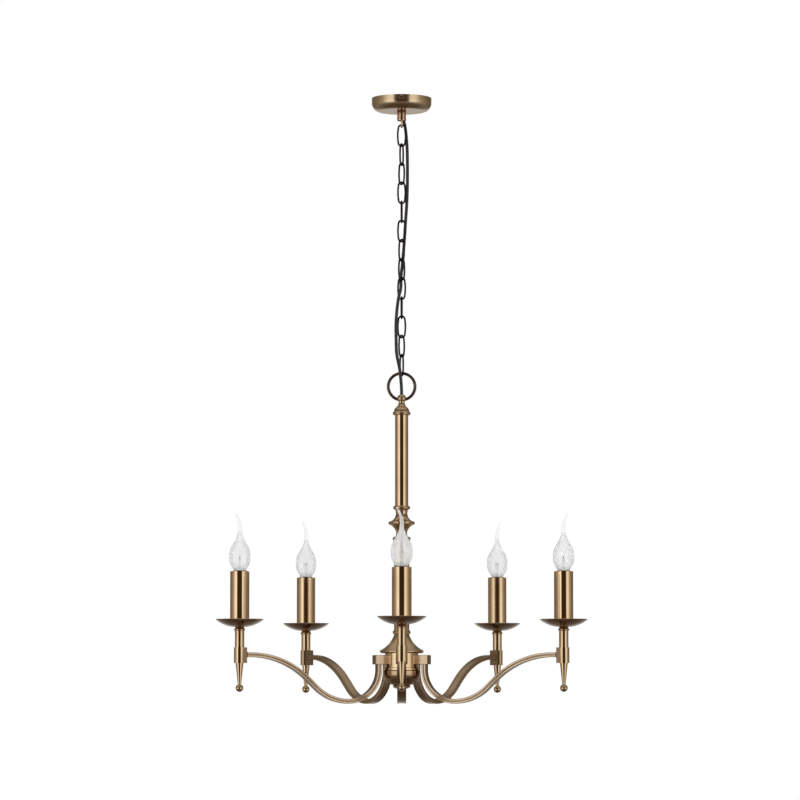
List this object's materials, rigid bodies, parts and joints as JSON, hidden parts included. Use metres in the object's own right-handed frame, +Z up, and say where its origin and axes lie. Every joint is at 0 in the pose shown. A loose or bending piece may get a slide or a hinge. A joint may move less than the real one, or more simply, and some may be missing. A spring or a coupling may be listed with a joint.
{
  "type": "five-light candle chandelier",
  "caption": "Antique brass candle chandelier hung from a ceiling rose on a dark chain, with curved arms, dished drip pans, candle tubes and clear bent-tip lamps.",
  "frame": {"origin": "centre of the ceiling plane, on top of the mounting strap between its two screw slots", "axes": "+Z up out of the ceiling plane along the chain and column, -Y along the front arm, +Y along the strap towards the rear slot"},
  "size_m": [0.6212, 0.5949, 1.0309],
  "materials": {
    "antique_brass": "satin, aged",
    "polished_brass": "polished",
    "copper_tone": "satin, coppery",
    "dark_bronze": "dark patina, rubbed",
    "galvanised_steel": "zinc plated",
    "black_braid": "braided",
    "holder_plastic": "moulded",
    "terminal_plastic": "moulded",
    "cap_metal": "satin",
    "clear_glass": "clear"
  },
  "bodies": {
    "root": {"ceiling_bracket": "galvanised_steel", "ceiling_rose": "antique_brass", "rose_screws": "polished_brass", "terminal_block": "terminal_plastic", "hanging_nipple": "galvanised_steel", "nipple_nuts": "galvanised_steel", "loop_cup": "copper_tone", "ceiling_loop": "polished_brass", "flex_cable": "black_braid"},
    "chain_link_01_body": {"chain_link_01": "dark_bronze"},
    "chain_link_02_body": {"chain_link_02": "dark_bronze"},
    "chain_link_03_body": {"chain_link_03": "dark_bronze"},
    "chain_link_04_body": {"chain_link_04": "dark_bronze"},
    "chain_link_05_body": {"chain_link_05": "dark_bronze"},
    "chain_link_06_body": {"chain_link_06": "dark_bronze"},
    "chain_link_07_body": {"chain_link_07": "dark_bronze"},
    "chain_link_08_body": {"chain_link_08": "dark_bronze"},
    "chain_link_09_body": {"chain_link_09": "dark_bronze"},
    "chain_link_10_body": {"chain_link_10": "dark_bronze"},
    "chain_link_11_body": {"chain_link_11": "dark_bronze"},
    "chain_link_12_body": {"chain_link_12": "dark_bronze"},
    "chain_link_13_body": {"chain_link_13": "dark_bronze"},
    "fixture": {"suspension_ring": "dark_bronze", "ring_holder": "antique_brass", "column_cap": "antique_brass", "column_tube": "antique_brass", "column_knop": "antique_brass", "lower_tube": "antique_brass", "tie_rod": "galvanised_steel", "hub_bell": "antique_brass", "hub_body": "antique_brass", "hub_bowl": "antique_brass", "hub_finial_nut": "antique_brass", "arm_1": "antique_brass", "arm_2": "antique_brass", "arm_3": "antique_brass", "arm_4": "antique_brass", "arm_5": "antique_brass", "arm_nipples": "galvanised_steel", "arm_nuts": "galvanised_steel", "arm_knuckles": "antique_brass", "candle_stems": "antique_brass", "drop_spikes": "antique_brass", "drip_pans": "antique_brass", "lampholders": "holder_plastic", "candle_tube_1": "antique_brass", "candle_tube_2": "antique_brass", "candle_tube_3": "antique_brass", "candle_tube_4": "antique_brass", "candle_tube_5": "antique_brass"},
    "lamp_1": {"lamp_cap_1": "cap_metal", "lamp_glass_1": "clear_glass"},
    "lamp_2": {"lamp_cap_2": "cap_metal", "lamp_glass_2": "clear_glass"},
    "lamp_3": {"lamp_cap_3": "cap_metal", "lamp_glass_3": "clear_glass"},
    "lamp_4": {"lamp_cap_4": "cap_metal", "lamp_glass_4": "clear_glass"},
    "lamp_5": {"lamp_cap_5": "cap_metal", "lamp_glass_5": "clear_glass"}
  },
  "joints": [
    {"name": "loop_to_link_01", "type": "hinge", "parent": "root", "child": "chain_link_01_body", "pos_m": [0, 0, -0.0493], "axis": [0, 1, 0], "range_deg": [-10, 10], "deforming": ["flex_cable"]},
    {"name": "link_01_to_link_02", "type": "hinge", "parent": "chain_link_01_body", "child": "chain_link_02_body", "pos_m": [0, 0, -0.082], "axis": [1, 0, 0], "range_deg": [-10, 10], "deforming": ["flex_cable"]},
    {"name": "link_02_to_link_03", "type": "hinge", "parent": "chain_link_02_body", "child": "chain_link_03_body", "pos_m": [0, 0, -0.1148], "axis": [0.4067, 0.9135, 0], "range_deg": [-10, 10], "deforming": ["flex_cable"]},
    {"name": "link_03_to_link_04", "type": "hinge", "parent": "chain_link_03_body", "child": "chain_link_04_body", "pos_m": [0, 0, -0.1476], "axis": [0.6691, -0.7431, 0], "range_deg": [-10, 10], "deforming": ["flex_cable"]},
    {"name": "link_04_to_link_05", "type": "hinge", "parent": "chain_link_04_body", "child": "chain_link_05_body", "pos_m": [0, 0, -0.1804], "axis": [0.9397, 0.342, 0], "range_deg": [-10, 10], "deforming": ["flex_cable"]},
    {"name": "link_05_to_link_06", "type": "hinge", "parent": "chain_link_05_body", "child": "chain_link_06_body", "pos_m": [0, 0, -0.2132], "axis": [0.0698, 0.9976, 0], "range_deg": [-10, 10], "deforming": ["flex_cable"]},
    {"name": "link_06_to_link_07", "type": "hinge", "parent": "chain_link_06_body", "child": "chain_link_07_body", "pos_m": [0, 0, -0.246], "axis": [0.9397, 0.342, 0], "range_deg": [-10, 10], "deforming": ["flex_cable"]},
    {"name": "link_07_to_link_08", "type": "hinge", "parent": "chain_link_07_body", "child": "chain_link_08_body", "pos_m": [0, 0, -0.2788], "axis": [0.6691, -0.7431, 0], "range_deg": [-10, 10], "deforming": ["flex_cable"]},
    {"name": "link_08_to_link_09", "type": "hinge", "parent": "chain_link_08_body", "child": "chain_link_09_body", "pos_m": [0, 0, -0.3116], "axis": [0.7193, 0.6947, 0], "range_deg": [-10, 10], "deforming": ["flex_cable"]},
    {"name": "link_09_to_link_10", "type": "hinge", "parent": "chain_link_09_body", "child": "chain_link_10_body", "pos_m": [0, 0, -0.3444], "axis": [0.9272, -0.3746, 0], "range_deg": [-10, 10], "deforming": ["flex_cable"]},
    {"name": "link_10_to_link_11", "type": "hinge", "parent": "chain_link_10_body", "child": "chain_link_11_body", "pos_m": [0, 0, -0.3772], "axis": [0.0872, 0.9962, 0], "range_deg": [-10, 10], "deforming": ["flex_cable"]},
    {"name": "link_11_to_link_12", "type": "hinge", "parent": "chain_link_11_body", "child": "chain_link_12_body", "pos_m": [0, 0, -0.41], "axis": [0.9563, -0.2924, 0], "range_deg": [-10, 10], "deforming": ["flex_cable"]},
    {"name": "link_12_to_link_13", "type": "hinge", "parent": "chain_link_12_body", "child": "chain_link_13_body", "pos_m": [0, 0, -0.4428], "axis": [0.6691, 0.7431, 0], "range_deg": [-10, 10], "deforming": ["flex_cable"]},
    {"name": "link_13_to_ring", "type": "hinge", "parent": "chain_link_13_body", "child": "fixture", "pos_m": [0, 0, -0.4756], "axis": [0.4067, -0.9135, 0], "range_deg": [-10, 10], "deforming": ["flex_cable"]},
    {"name": "lamp_1_screw", "type": "hinge", "parent": "fixture", "child": "lamp_1", "pos_m": [0, -0.2844, -0.8194], "axis": [0, 0, 1], "range_deg": [0, 1080]},
    {"name": "lamp_2_screw", "type": "hinge", "parent": "fixture", "child": "lamp_2", "pos_m": [0.27048, -0.08788, -0.8194], "axis": [0, 0, 1], "range_deg": [0, 1080]},
    {"name": "lamp_3_screw", "type": "hinge", "parent": "fixture", "child": "lamp_3", "pos_m": [0.16717, 0.23008, -0.8194], "axis": [0, 0, 1], "range_deg": [0, 1080]},
    {"name": "lamp_4_screw", "type": "hinge", "parent": "fixture", "child": "lamp_4", "pos_m": [-0.16717, 0.23008, -0.8194], "axis": [0, 0, 1], "range_deg": [0, 1080]},
    {"name": "lamp_5_screw", "type": "hinge", "parent": "fixture", "child": "lamp_5", "pos_m": [-0.27048, -0.08788, -0.8194], "axis": [0, 0, 1], "range_deg": [0, 1080]}
  ]
}
